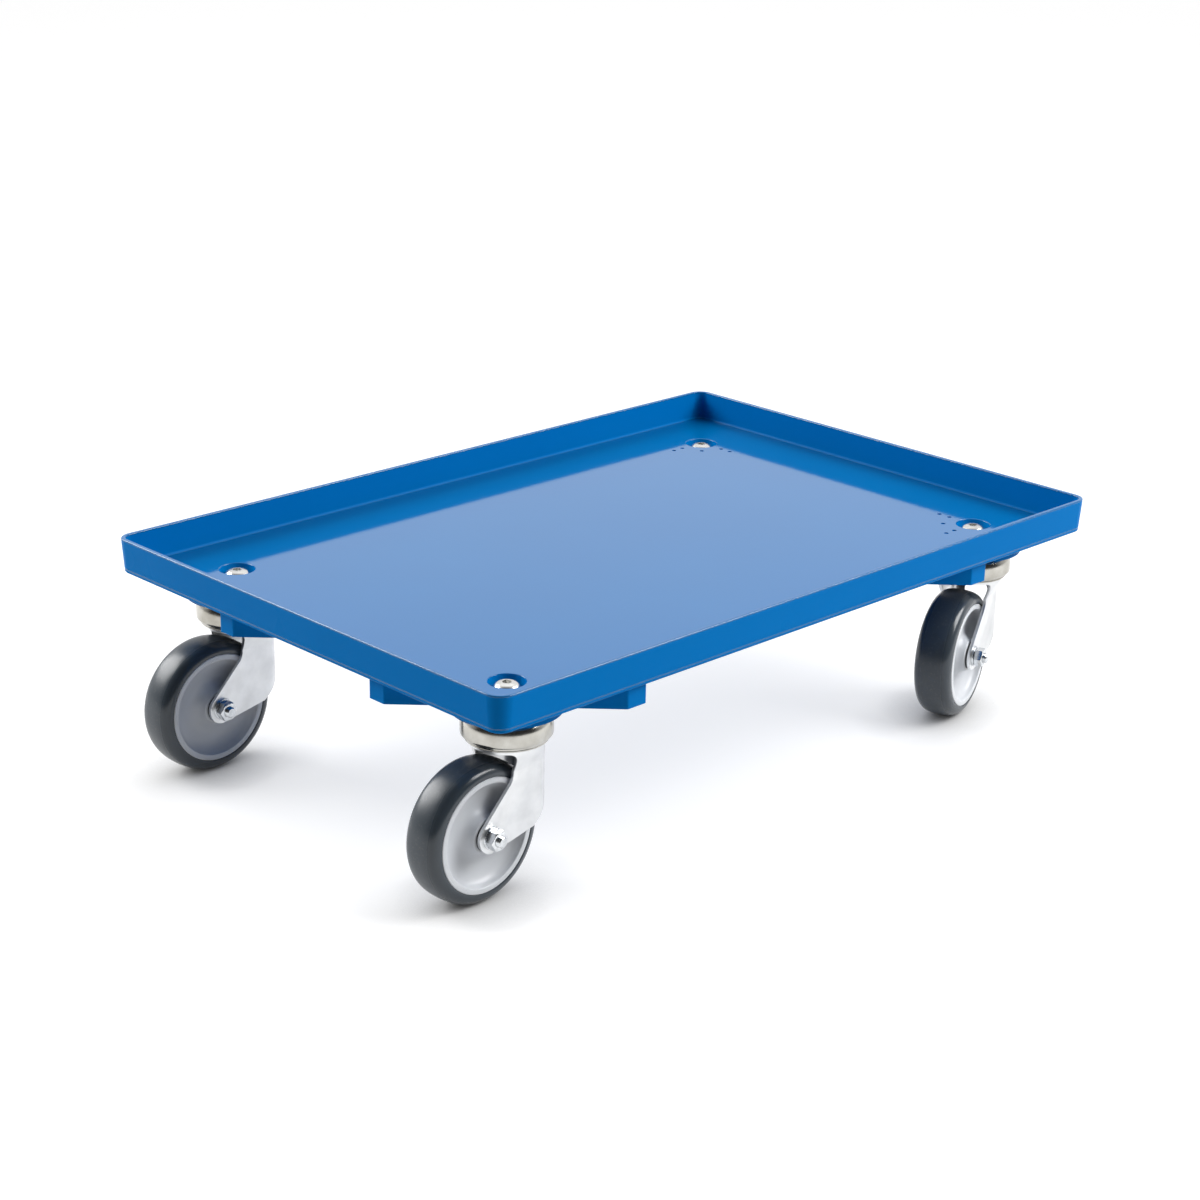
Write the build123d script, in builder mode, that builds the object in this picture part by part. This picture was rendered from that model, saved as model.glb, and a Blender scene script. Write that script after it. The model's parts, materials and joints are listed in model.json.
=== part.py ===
from build123d import *

import os
from math import asin, atan2, degrees, pi, radians, sqrt, tan

# Platform trolley: a moulded plastic tray deck that carries one crate, on four swivel casters.
# Frame: origin on the ground under the middle of the deck, +X along the long side, +Z up.

# ---- Deck ------------------------------------------------------------------------------------
deck_length = 620.0
deck_width = 420.0
deck_corner_radius = 12.0
tray_depth = 23.5            # rim down to the load floor
rim_thickness = 3.4
floor_thickness = 3.0
wall_draft = 4.0             # degrees, walls lean in towards the floor
rim_rounding = 0.9
floor_fillet = 2.5           # inside, between wall and floor
bottom_rounding = 1.6        # outside, under the wall

# ---- Corner structure under the deck ---------------------------------------------------------
caster_inset_x = 63.5        # swivel axis from the deck's end
caster_inset_y = 62.6        # swivel axis from the deck's side
pad_depth = 15.5             # mounting face below the deck's underside
boss_margin = 6.7            # boss beyond the swivel cup
boss_core_share = 0.605      # solid core, as a share of the boss
boss_ribs = 8
rib_thickness = 2.6
block_span = 182.8           # length of the block that runs across each corner
block_reach = 62.0           # how far the block runs in towards the middle
block_setback = 6.2          # block tips behind the deck's rim
block_wall = 3.0
block_ribs = 4
grid_depth = 11.0
grid_setback = 32.0
grid_columns = 10
grid_rows = 6
block_rounding = 2.0         # upright edges of the corner blocks

# ---- Screw recess in the load floor ----------------------------------------------------------
recess_margin = 2.6          # recess mouth beyond the screw's washer
recess_depth = 7.9
recess_draft = 8.0
recess_rounding = 0.7
pip_radius = 1.8
pip_depth = 0.8
pip_steps = ((23.5, 0.0), (33.5, 0.0), (0.0, 23.5), (0.0, 33.5), (16.5, 16.5))

# ---- Mounting screw, one per caster ----------------------------------------------------------
screw_diameter = 10.0
screw_head_ratio = 1.9       # head, nut and washer as shares of the screw's diameter
screw_nut_ratio = 1.6
screw_washer_ratio = 2.1
screw_head_height = 5.8
screw_head_edge = 1.8
screw_drive_across = 6.0
screw_drive_depth = 3.2
screw_tail = 1.2
screw_nut_height = 8.0
washer_thickness = 1.6
screw_clearance = 0.3
screw_dome_flat = 0.42       # flat top of the head, as a share of its radius
washer_rounding = 0.4
hexagon_corner_ratio = 1.16  # corner radius over half the width across flats
hexagon_face_ratio = 0.95
hexagon_bevel = 30.0         # degrees
thread_chamfer = 0.8

# ---- Swivel head -----------------------------------------------------------------------------
head_height = 28.0           # top of the wheel to the caster's mounting face
cup_radius = 31.3
cup_sheet = 2.2
cup_edge = 9.3               # cup's side in to its flat top
cup_shoulder = 10.5          # mounting face down to the straight side
cup_side = 5.0
cup_height = 21.0
cup_lip_gap = 0.6
kingpin_wall = 2.7
kingpin_flange_margin = 3.1  # flange beyond the circle of the lower balls
kingpin_flange = 2.4
kingpin_shoulder_width = 4.0
kingpin_shoulder = 2.2
upper_ball_diameter = 6.0
upper_ball_inset = 10.8      # cup's side in to the circle of the upper balls
upper_ball_pitch = 7.1
lower_ball_diameter = 5.0
lower_ball_margin = 4.4      # kingpin's side out to the circle of the lower balls
lower_ball_pitch = 6.4
ball_gap = 0.4               # between a ball and the race it doesn't ride with
race_depth = 0.8
race_relief = 0.15

# ---- Fork ------------------------------------------------------------------------------------
crown_step = 5.6             # cup's side in to the crown's edge
crown_skirt_drop = 23.5      # mounting face down to the crown's lower edge
fork_sheet = 2.4
tyre_side_gap = 1.6          # tyre to fork leg
leg_front_step = 3.2         # crown's edge back to the front of the legs
leg_back = 12.0
leg_roll_radius = 10.0
leg_top_drop = 37.0          # mounting face down to where the legs begin to open to the crown
lobe_radius = 11.0
heel_x = -7.0
heel_drop = 4.0              # heel below the axle
front_flange_drop = 48.0     # mounting face down to the foot of the rolled front
heel_sagitta = 4.0
window_width = 19.0
window_drop = 33.0           # mounting face down to the top of the front opening
trail_share = 0.64           # swivel axis to wheel axle, as a share of the wheel's radius
leg_floor_drop = 20.0        # level that the side outline cuts above, below the axle
corner_flat = 0.02           # leaves the crown's corners a trace of a straight side
skirt_rounding = 5.0
leg_back_rounding = 12.0
kingpin_hole_gap = 0.6

# ---- Axle ------------------------------------------------------------------------------------
axle_diameter = 8.0
axle_hole_clearance = 0.15
axle_washer_ratio = 2.0      # washer and nut as shares of the axle's diameter
axle_nut_ratio = 1.625
axle_washer_thickness = 1.4
axle_nut_height = 6.5
axle_head_height = 5.3
axle_tail = 2.9
thread_pitch = 1.25
thread_depth = 0.35
thread_turns = 2
sleeve_wall = 1.85
running_clearance = 0.06

# ---- Wheel -----------------------------------------------------------------------------------
wheel_radius = 50.0
tyre_width = 30.0
tyre_shoulder = 8.0
tyre_thickness = 9.3
rim_ring_width = 4.2
dish_outer_wall = 2.6
web_thickness = 12.0
dish_rounding = 4.0
hub_rounding = 1.0
ring_rounding = 0.8
hub_wall = 4.14              # hub's end beyond the bush
hub_cone_share = 0.488       # foot of the hub's cone between hub end and dish wall
bush_wall = 2.4
bush_flange_width = 2.14
bush_flange = 1.2
bush_length = 13.0
hub_side_gap = 0.5           # hub end to fork leg

# ---- How each caster stands at rest: corner signs and heading of its wheel, degrees -----------
corners = {
    "rear_right": (-1, -1, 182.6),
    "rear_left": (-1, 1, 181.5),
    "front_right": (1, -1, 198.8),
    "front_left": (1, 1, 2.6),
}

# ---- Heights and places that follow ----------------------------------------------------------
caster_height = 2 * wheel_radius + head_height
underside = caster_height + pad_depth
floor_top = underside + floor_thickness
rim_top = floor_top + tray_depth
caster_x = deck_length / 2 - caster_inset_x
caster_y = deck_width / 2 - caster_inset_y
screw_seat = floor_top - recess_depth
screw_radius = screw_diameter / 2
screw_washer_radius = screw_diameter * screw_washer_ratio / 2
recess_radius = screw_washer_radius + recess_margin
boss_radius = cup_radius + boss_margin
boss_core_radius = boss_radius * boss_core_share
cup_ceiling = caster_height - cup_sheet
cup_flat_radius = cup_radius - cup_edge
upper_ball_radius = upper_ball_diameter / 2
lower_ball_radius = lower_ball_diameter / 2
crown_top = cup_ceiling - ball_gap - upper_ball_diameter + race_depth
crown_under = crown_top - fork_sheet
lower_ball_height = crown_under + race_depth - lower_ball_radius
kingpin_flange_top = lower_ball_height - lower_ball_radius - ball_gap
kingpin_bottom = kingpin_flange_top - kingpin_flange
kingpin_bore = screw_radius + screw_clearance
kingpin_radius = kingpin_bore + kingpin_wall
upper_ball_circle = cup_radius - upper_ball_inset
lower_ball_circle = kingpin_radius + lower_ball_margin
kingpin_flange_radius = lower_ball_circle + kingpin_flange_margin
kingpin_shoulder_radius = kingpin_radius + kingpin_shoulder_width
crown_radius = cup_radius - crown_step
crown_skirt = caster_height - crown_skirt_drop
leg_front = crown_radius - leg_front_step
leg_top = caster_height - leg_top_drop
leg_floor = wheel_radius - leg_floor_drop
front_flange_height = caster_height - front_flange_drop
window_top = caster_height - window_drop
heel_height = wheel_radius - heel_drop
trail = wheel_radius * trail_share
leg_inner = tyre_width / 2 + tyre_side_gap
leg_outer = leg_inner + fork_sheet
hub_half = leg_inner - hub_side_gap
axle_radius = axle_diameter / 2
axle_hole = axle_radius + axle_hole_clearance
sleeve_radius = axle_hole + sleeve_wall
bush_bore = sleeve_radius + running_clearance
bush_radius = bush_bore + bush_wall
bush_flange_radius = bush_radius + bush_flange_width
hub_end_radius = bush_radius + hub_wall


def corner_location(sign_x, sign_y):
    """Swivel axis of one corner, turned so that +Y points out over that corner."""
    turn = degrees(atan2(sign_y, sign_x)) - 90
    return Location((sign_x * caster_x, sign_y * caster_y, 0), (0, 0, turn))


# ---- Deck tray: load floor and upstand rim, with a screw well over each caster ----------------
with BuildPart() as tray_inside:
    with BuildSketch(Plane.XY.offset(rim_top)):
        RectangleRounded(
            deck_length - 2 * rim_thickness,
            deck_width - 2 * rim_thickness,
            deck_corner_radius - rim_thickness,
        )
    extrude(amount=-tray_depth, taper=wall_draft)
    fillet(tray_inside.faces().sort_by(Axis.Z)[0].edges(), floor_fillet)

with BuildPart() as screw_wells:
    with BuildSketch(Plane.XY.offset(floor_top)):
        with GridLocations(2 * caster_x, 2 * caster_y, 2, 2):
            Circle(recess_radius)
    extrude(amount=-recess_depth, taper=recess_draft)
    with BuildSketch(Plane.XY.offset(floor_top)):
        with GridLocations(2 * caster_x, 2 * caster_y, 2, 2):
            Circle(screw_radius + screw_clearance)
    extrude(amount=-(floor_top - caster_height))

with BuildPart() as deck:
    with BuildSketch(Plane.XY.offset(rim_top)):
        RectangleRounded(deck_length, deck_width, deck_corner_radius)
    extrude(amount=-(tray_depth + floor_thickness), taper=wall_draft)
    fillet(deck.faces().sort_by(Axis.Z)[0].edges(), bottom_rounding)
    add(tray_inside.part, mode=Mode.SUBTRACT)
    fillet(deck.faces().sort_by(Axis.Z)[-1].edges(), rim_rounding)
    add(screw_wells.part, mode=Mode.SUBTRACT)
    mouths = deck.edges().filter_by(GeomType.CIRCLE)
    fillet([edge for edge in mouths if abs(edge.radius - recess_radius) < 1e-3], recess_rounding)
    # moulding pips round the two front wells
    with BuildSketch(Plane.XY.offset(floor_top)):
        for step_x, step_y in pip_steps:
            with Locations((caster_x - step_x, 0)):
                with GridLocations(0, 2 * (caster_y - step_y), 1, 2):
                    Circle(pip_radius)
    extrude(amount=-pip_depth, mode=Mode.SUBTRACT)


# ---- Underside of the deck: rib grid and the four corner blocks -------------------------------
grid_length = deck_length - 2 * grid_setback
grid_width = deck_width - 2 * grid_setback

with BuildPart() as deck_ribs:
    with BuildSketch(Plane.XY.offset(underside)):
        Rectangle(grid_length, grid_width)
        Rectangle(grid_length - 2 * rib_thickness, grid_width - 2 * rib_thickness, mode=Mode.SUBTRACT)
        with GridLocations(grid_length / grid_columns, 0, grid_columns - 1, 1):
            Rectangle(rib_thickness, grid_width)
        with GridLocations(0, grid_width / grid_rows, 1, grid_rows - 1):
            Rectangle(grid_length, rib_thickness)
        # the grid stops at the inner face of each corner block
        for sign_x, sign_y, _ in corners.values():
            with Locations(corner_location(sign_x, sign_y)):
                with Locations((0, -block_reach)):
                    Rectangle(
                        deck_width, deck_width, align=(Align.CENTER, Align.MIN), mode=Mode.SUBTRACT
                    )
    extrude(amount=-grid_depth)


def block_outline(sign_x, sign_y, inset):
    """One corner block, seen from above, drawn in by inset on every side."""
    with BuildSketch(Plane.XY.offset(underside)) as outline:
        with Locations(corner_location(sign_x, sign_y)):
            with Locations((0, -block_reach / 2)):
                Rectangle(block_span - 2 * inset, block_reach - 2 * inset)
        Rectangle(
            deck_length - 2 * (block_setback + inset),
            deck_width - 2 * (block_setback + inset),
            mode=Mode.INTERSECT,
        )
        fillet(outline.vertices(), block_rounding)
    return outline.sketch


def corner_block(sign_x, sign_y):
    """Hollow block across one corner, with the round boss that the caster is bolted to."""
    with BuildPart() as block:
        with BuildSketch(Plane.XY.offset(underside)):
            add(block_outline(sign_x, sign_y, 0))
            add(block_outline(sign_x, sign_y, block_wall), mode=Mode.SUBTRACT)
            with Locations(corner_location(sign_x, sign_y)):
                with Locations((0, -block_reach / 2)):
                    with GridLocations(block_span / (block_ribs + 1), 0, block_ribs, 1):
                        Rectangle(rib_thickness, block_reach)
        extrude(amount=-pad_depth)
        # boss on the swivel axis: solid core, outer ring and spokes
        with BuildSketch(Plane.XY.offset(underside)):
            with Locations(corner_location(sign_x, sign_y)):
                Circle(boss_radius)
                Circle(boss_radius - rib_thickness, mode=Mode.SUBTRACT)
                Circle(boss_core_radius)
                with PolarLocations((boss_core_radius + boss_radius - rib_thickness) / 2, boss_ribs):
                    Rectangle(boss_radius - boss_core_radius, rib_thickness)
        extrude(amount=-pad_depth)
        add(screw_wells.part, mode=Mode.SUBTRACT)
    return block.part


# ---- Mounting screw with its washer and lock nut ---------------------------------------------
washer_top = screw_seat + washer_thickness
screw_end = kingpin_bottom - screw_nut_height - screw_tail

with BuildPart() as mount_screw:
    with BuildSketch(Plane.XZ):
        with BuildLine():
            head_radius = screw_radius * screw_head_ratio
            Polyline(
                (0, washer_top + screw_head_height),
                (0, screw_end),
                (screw_radius - thread_chamfer, screw_end),
                (screw_radius, screw_end + thread_chamfer),
                (screw_radius, washer_top),
                (head_radius, washer_top),
                (head_radius, washer_top + screw_head_edge),
            )
            dome_top = (head_radius * screw_dome_flat, washer_top + screw_head_height)
            TangentArc((head_radius, washer_top + screw_head_edge), dome_top, tangent=(-0.35, 1))
            Line(dome_top, (0, washer_top + screw_head_height))
        make_face()
    revolve(axis=Axis.Z)
    with BuildSketch(Plane.XY.offset(washer_top + screw_head_height)):
        RegularPolygon(screw_drive_across / 2, 6, major_radius=False)
    extrude(amount=-screw_drive_depth, mode=Mode.SUBTRACT)

with BuildPart() as mount_washer:
    with BuildSketch(Plane.XY.offset(screw_seat)):
        Circle(screw_washer_radius)
        Circle(screw_radius + screw_clearance, mode=Mode.SUBTRACT)
    extrude(amount=washer_thickness)
    fillet(mount_washer.faces().sort_by(Axis.Z)[-1].outer_wire().edges(), washer_rounding)


# ---- Mounting nut, under the kingpin ---------------------------------------------------------
def hexagon(across, height, bore):
    """Nut or bolt head on the ground plane, its corners turned off to cones at both ends."""
    corner = across / 2 * hexagon_corner_ratio
    face = across / 2 * hexagon_face_ratio
    bevel = (corner - face) * tan(radians(hexagon_bevel))
    with BuildPart() as hexagon_part:
        with BuildSketch():
            RegularPolygon(across / 2, 6, major_radius=False)
        extrude(amount=height)
        with BuildSketch(Plane.XZ):
            Polygon(
                (0, 0), (face, 0), (corner, bevel), (corner, height - bevel), (face, height), (0, height),
                align=None,
            )
        revolve(axis=Axis.Z, mode=Mode.INTERSECT)
        if bore > 0:
            with BuildSketch():
                Circle(bore)
            extrude(amount=height, mode=Mode.SUBTRACT)
    return hexagon_part.part


with BuildPart() as mount_nut:
    with Locations((0, 0, kingpin_bottom - screw_nut_height)):
        add(hexagon(screw_diameter * screw_nut_ratio, screw_nut_height, screw_radius))


# ---- Swivel head: pressed cup and hollow kingpin ----------------------------------------------
cup_inner = cup_radius - cup_sheet
cup_side_top = caster_height - cup_shoulder
cup_side_bottom = cup_side_top - cup_side
cup_bottom = caster_height - cup_height
lip_inner = crown_radius + cup_lip_gap

with BuildPart() as swivel_cup:
    with BuildSketch(Plane.XZ):
        with BuildLine():
            Line((kingpin_bore, caster_height), (cup_flat_radius, caster_height))
            Spline(
                (cup_flat_radius, caster_height),
                (cup_radius, cup_side_top),
                tangents=[(1, 0), (0, -1)],
            )
            Line((cup_radius, cup_side_top), (cup_radius, cup_side_bottom))
            TangentArc(
                (cup_radius, cup_side_bottom), (lip_inner + cup_sheet, cup_bottom), tangent=(0, -1)
            )
            Line((lip_inner + cup_sheet, cup_bottom), (lip_inner, cup_bottom))
            TangentArc((cup_inner, cup_side_bottom), (lip_inner, cup_bottom), tangent=(0, -1))
            Line((cup_inner, cup_side_bottom), (cup_inner, cup_side_top))
            Spline(
                (cup_flat_radius, cup_ceiling),
                (cup_inner, cup_side_top),
                tangents=[(1, 0), (0, -1)],
            )
            Polyline(
                (cup_flat_radius, cup_ceiling), (kingpin_bore, cup_ceiling), (kingpin_bore, caster_height)
            )
        make_face()
    revolve(axis=Axis.Z)

with BuildPart() as kingpin:
    with BuildSketch(Plane.XZ):
        Polygon(
            (kingpin_bore, cup_ceiling),
            (kingpin_bore, kingpin_bottom),
            (kingpin_flange_radius, kingpin_bottom),
            (kingpin_flange_radius, kingpin_flange_top),
            (kingpin_radius, kingpin_flange_top),
            (kingpin_radius, cup_ceiling - kingpin_shoulder),
            (kingpin_shoulder_radius, cup_ceiling - kingpin_shoulder),
            (kingpin_shoulder_radius, cup_ceiling),
            align=None,
        )
    revolve(axis=Axis.Z)


def ball_ring(ball_radius, circle, count, height):
    """Ring of separate bearing balls about the swivel axis."""
    with BuildPart() as ring:
        with Locations((0, 0, height)):
            with PolarLocations(circle, count):
                Sphere(ball_radius)
    return ring.part


upper_ball_height = crown_top - race_depth + upper_ball_radius
upper_ball_count = int(2 * pi * upper_ball_circle / upper_ball_pitch)
lower_ball_count = int(2 * pi * lower_ball_circle / lower_ball_pitch)
with BuildPart() as upper_balls:
    add(ball_ring(upper_ball_radius, upper_ball_circle, upper_ball_count, upper_ball_height))

with BuildPart() as lower_balls:
    add(ball_ring(lower_ball_radius, lower_ball_circle, lower_ball_count, lower_ball_height))


# ---- Fork: one pressing, round at the crown and narrowing to two parallel legs ----------------
leg_tail = trail + lobe_radius
lobe_back = leg_tail + 1.0


def fork_core(inset, top):
    """Solid of the fork's outer form, drawn in by inset, up to the height given."""
    crown = crown_radius - inset
    front = leg_front - inset
    half = leg_outer - inset
    roll = leg_roll_radius - inset
    with BuildPart() as core:
        with BuildSketch(Plane.XY.offset(crown_skirt)):
            RectangleRounded(2 * crown, 2 * crown, crown - corner_flat)
        extrude(amount=top - crown_skirt)
        with BuildSketch(Plane.XY.offset(leg_top)):
            RectangleRounded(2 * front, 2 * half, roll)
        with BuildSketch(Plane.XY.offset(crown_skirt)):
            RectangleRounded(2 * crown, 2 * crown, crown - corner_flat)
        loft()
        with BuildSketch(Plane.XY.offset(leg_top)):
            RectangleRounded(2 * front, 2 * half, roll)
            with Locations((lobe_back / 2, 0)):
                Rectangle(lobe_back, 2 * half)
        extrude(amount=-(leg_top - leg_floor))
    return core.part


lobe_centre = Vector(trail, wheel_radius)
slope_touch = lobe_centre + Vector(lobe_radius, 0).rotate(Axis.Z, 45)
slope_top = slope_touch.Y + slope_touch.X - leg_back
to_lobe = lobe_centre - Vector(heel_x, heel_height)
heel_angle = degrees(atan2(to_lobe.Y, to_lobe.X) - asin(lobe_radius / to_lobe.length))
heel_touch = lobe_centre + Vector(lobe_radius, 0).rotate(Axis.Z, heel_angle - 90)
outline_reach = crown_radius + 1.0

with BuildPart() as fork:
    add(fork_core(0, crown_top))
    # side outline, cut straight across both legs
    with BuildSketch(Plane.XZ):
        with BuildLine():
            FilletPolyline(
                (outline_reach, crown_skirt),
                (leg_back, crown_skirt),
                (leg_back, slope_top),
                (slope_touch.X, slope_touch.Y),
                radius=(skirt_rounding, leg_back_rounding),
            )
            ThreePointArc(
                (slope_touch.X, slope_touch.Y),
                (trail + lobe_radius, wheel_radius),
                (heel_touch.X, heel_touch.Y),
            )
            Line((heel_touch.X, heel_touch.Y), (heel_x, heel_height))
            SagittaArc((heel_x, heel_height), (-outline_reach, front_flange_height), heel_sagitta)
            Polyline(
                (-outline_reach, front_flange_height),
                (-outline_reach, crown_top + 1.0),
                (outline_reach, crown_top + 1.0),
                (outline_reach, crown_skirt),
            )
        make_face()
    extrude(amount=outline_reach, both=True, mode=Mode.INTERSECT)
    add(fork_core(fork_sheet, crown_under), mode=Mode.SUBTRACT)
    # opening between the rolled front edges
    with BuildSketch(Plane.YZ):
        with Locations((0, window_top - outline_reach)):
            SlotOverall(2 * outline_reach, window_width, rotation=90)
    extrude(amount=-outline_reach, mode=Mode.SUBTRACT)
    # ball races above and below the crown, kingpin hole and axle holes
    with BuildSketch(Plane.XZ):
        with Locations((upper_ball_circle, upper_ball_height + race_relief)):
            Circle(upper_ball_radius + race_relief)
        with Locations((lower_ball_circle, lower_ball_height - race_relief)):
            Circle(lower_ball_radius + race_relief)
    revolve(axis=Axis.Z, mode=Mode.SUBTRACT)
    with BuildSketch(Plane.XY.offset(crown_under)):
        Circle(kingpin_radius + kingpin_hole_gap)
    extrude(amount=fork_sheet, mode=Mode.SUBTRACT)
    with BuildSketch(Plane.XZ):
        with Locations((trail, wheel_radius)):
            Circle(axle_hole)
    extrude(amount=outline_reach, both=True, mode=Mode.SUBTRACT)


# ---- Axle: bolt, washers, nut and the spacer sleeve that the wheel turns on -------------------
# Level plane through the axle; sketches on it have x along the fork and y along the axle.
axle_plane = Plane(origin=(trail, 0, wheel_radius))
axle_line = Axis((trail, 0, wheel_radius), (0, 1, 0))
washer_face = leg_outer + axle_washer_thickness
axle_end = washer_face + axle_nut_height + axle_tail
axle_nut_across = axle_diameter * axle_nut_ratio

with BuildPart() as axle_bolt:
    with BuildSketch(axle_plane):
        Polygon(
            (0, -washer_face),
            (axle_radius, -washer_face),
            (axle_radius, axle_end - thread_chamfer),
            (axle_radius - thread_chamfer, axle_end),
            (0, axle_end),
            align=None,
        )
    revolve(axis=axle_line)
    # visible thread turns beyond the nut
    with BuildSketch(axle_plane):
        with Locations((axle_radius, axle_end - thread_chamfer - thread_pitch)):
            with GridLocations(thread_pitch, thread_pitch, 1, thread_turns):
                Rectangle(thread_depth * sqrt(2), thread_depth * sqrt(2), rotation=45)
    revolve(axis=axle_line, mode=Mode.SUBTRACT)
    with Locations(Location((trail, -washer_face - axle_head_height, wheel_radius), (-90, 0, 0))):
        add(hexagon(axle_nut_across, axle_head_height, 0))

with BuildPart() as axle_nut:
    with Locations(Location((trail, washer_face, wheel_radius), (-90, 0, 0))):
        add(hexagon(axle_nut_across, axle_nut_height, axle_radius))

with BuildPart() as axle_washers:
    for side in (-1, 1):
        with BuildSketch(axle_plane):
            with Locations((axle_hole, side * leg_outer)):
                Rectangle(
                    axle_radius * axle_washer_ratio - axle_hole,
                    axle_washer_thickness,
                    align=(Align.MIN, Align.MIN if side > 0 else Align.MAX),
                )
        revolve(axis=axle_line)

with BuildPart() as axle_sleeve:
    with BuildSketch(axle_plane):
        with Locations((axle_hole, 0)):
            Rectangle(sleeve_wall, 2 * leg_inner, align=(Align.MIN, Align.CENTER))
    revolve(axis=axle_line)


# ---- Wheel: moulded rim, two flanged bushes and a soft tyre -----------------------------------
hub_face = hub_half - bush_flange
half_tyre = tyre_width / 2
rim_radius = wheel_radius - tyre_thickness
ring_inner = rim_radius - rim_ring_width
dish_outer = ring_inner - dish_outer_wall
hub_cone_radius = hub_end_radius + hub_cone_share * (dish_outer - hub_end_radius)

with BuildPart() as wheel_rim:
    with BuildSketch(axle_plane) as rim_section:
        Polygon(
            (bush_radius, 0),
            (bush_radius, hub_face),
            (hub_end_radius, hub_face),
            (hub_cone_radius, web_thickness / 2),
            (dish_outer, web_thickness / 2),
            (ring_inner, half_tyre),
            (rim_radius, half_tyre),
            (rim_radius, 0),
            align=None,
        )
        corners_out = rim_section.vertices().group_by(Axis.Y)
        fillet(corners_out[1], dish_rounding)
        fillet(rim_section.vertices().sort_by_distance((hub_end_radius, hub_face))[0], hub_rounding)
        fillet(rim_section.vertices().sort_by_distance((ring_inner, half_tyre))[0], ring_rounding)
        mirror(about=Plane.XZ)
    revolve(axis=axle_line)

with BuildPart() as wheel_bushes:
    for side in (-1, 1):
        with BuildSketch(axle_plane):
            Polygon(
                (bush_bore, side * (hub_face - bush_length)),
                (bush_radius, side * (hub_face - bush_length)),
                (bush_radius, side * hub_face),
                (bush_flange_radius, side * hub_face),
                (bush_flange_radius, side * hub_half),
                (bush_bore, side * hub_half),
                align=None,
            )
        revolve(axis=axle_line)

with BuildPart() as tyre:
    with BuildSketch(axle_plane) as tyre_section:
        with Locations((rim_radius, 0)):
            Rectangle(tyre_thickness, tyre_width, align=(Align.MIN, Align.CENTER))
        fillet(tyre_section.vertices().group_by(Axis.X)[-1], tyre_shoulder)
    revolve(axis=axle_line)


# ---- Group the four mounting sets, then place a caster at each corner and write every node ----
with BuildPart() as mount_screws:
    with GridLocations(2 * caster_x, 2 * caster_y, 2, 2):
        add(mount_screw.part)

with BuildPart() as mount_washers:
    with GridLocations(2 * caster_x, 2 * caster_y, 2, 2):
        add(mount_washer.part)

with BuildPart() as mount_nuts:
    with GridLocations(2 * caster_x, 2 * caster_y, 2, 2):
        add(mount_nut.part)

deck_pieces = {
    "deck": deck.part,
    "deck_ribs": deck_ribs.part,
    "mount_screws": mount_screws.part,
    "mount_washers": mount_washers.part,
    "mount_nuts": mount_nuts.part,
}
caster_pieces = {
    "swivel_cup": swivel_cup.part,
    "kingpin": kingpin.part,
    "upper_balls": upper_balls.part,
    "lower_balls": lower_balls.part,
    "fork": fork.part,
    "axle_bolt": axle_bolt.part,
    "axle_washers": axle_washers.part,
    "axle_nut": axle_nut.part,
    "axle_sleeve": axle_sleeve.part,
    "wheel_rim": wheel_rim.part,
    "wheel_bushes": wheel_bushes.part,
    "tyre": tyre.part,
}


def write_node(name, piece):
    """Write one named node to its own STEP file."""
    piece.label = name
    export_step(piece, f"parts/{name}.step")


os.makedirs("parts", exist_ok=True)
for name, piece in deck_pieces.items():
    write_node(name, piece)
for corner, (sign_x, sign_y, heading) in corners.items():
    write_node(f"corner_block_{corner}", corner_block(sign_x, sign_y))
    stand = Location((sign_x * caster_x, sign_y * caster_y, 0), (0, 0, heading))
    for name, piece in caster_pieces.items():
        write_node(f"{name}_{corner}", piece.moved(stand))
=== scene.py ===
"""Looks of a plastic platform trolley: a blue tray deck on four swivel casters.

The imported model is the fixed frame. The deck, the fasteners and the other machined pieces keep
their own shape and are dressed with procedural finishes. Tyres, wheel centres, swivel cups and
forks are made anew, with the rounded edges that such pieces have, and stand for their plain
nodes.
"""

from __future__ import annotations

import json
import logging
import math
from dataclasses import dataclass, field
from enum import Enum
from typing import Any, Callable, Sequence, Union

import bpy
from mathutils import Matrix, Vector


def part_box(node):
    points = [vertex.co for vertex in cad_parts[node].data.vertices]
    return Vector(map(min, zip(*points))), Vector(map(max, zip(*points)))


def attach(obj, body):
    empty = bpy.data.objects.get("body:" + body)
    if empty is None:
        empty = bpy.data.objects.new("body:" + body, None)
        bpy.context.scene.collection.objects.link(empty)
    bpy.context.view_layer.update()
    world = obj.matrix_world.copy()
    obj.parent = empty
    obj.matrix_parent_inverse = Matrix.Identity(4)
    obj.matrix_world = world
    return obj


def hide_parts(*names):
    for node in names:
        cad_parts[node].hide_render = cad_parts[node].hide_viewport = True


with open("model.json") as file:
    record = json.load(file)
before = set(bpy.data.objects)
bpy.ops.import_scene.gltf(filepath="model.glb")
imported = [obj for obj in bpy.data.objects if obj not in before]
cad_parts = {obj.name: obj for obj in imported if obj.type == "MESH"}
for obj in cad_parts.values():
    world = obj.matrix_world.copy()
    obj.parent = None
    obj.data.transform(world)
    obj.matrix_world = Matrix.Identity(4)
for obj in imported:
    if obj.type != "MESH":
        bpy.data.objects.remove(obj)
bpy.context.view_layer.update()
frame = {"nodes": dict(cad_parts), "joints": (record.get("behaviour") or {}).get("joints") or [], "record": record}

log = logging.getLogger("trolley")

Point = tuple[float, float]
Colour = tuple[float, float, float]
Number = Union[float, "Shade"]

MM = 0.001
FULL_TURN = 2 * math.pi


# ---------------------------------------------------------------------------------------------
# Names
# ---------------------------------------------------------------------------------------------
class Corner(Enum):
    """The four corners of the deck, by the suffix of their nodes."""

    REAR_RIGHT = "rear_right"
    REAR_LEFT = "rear_left"
    FRONT_RIGHT = "front_right"
    FRONT_LEFT = "front_left"


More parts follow.
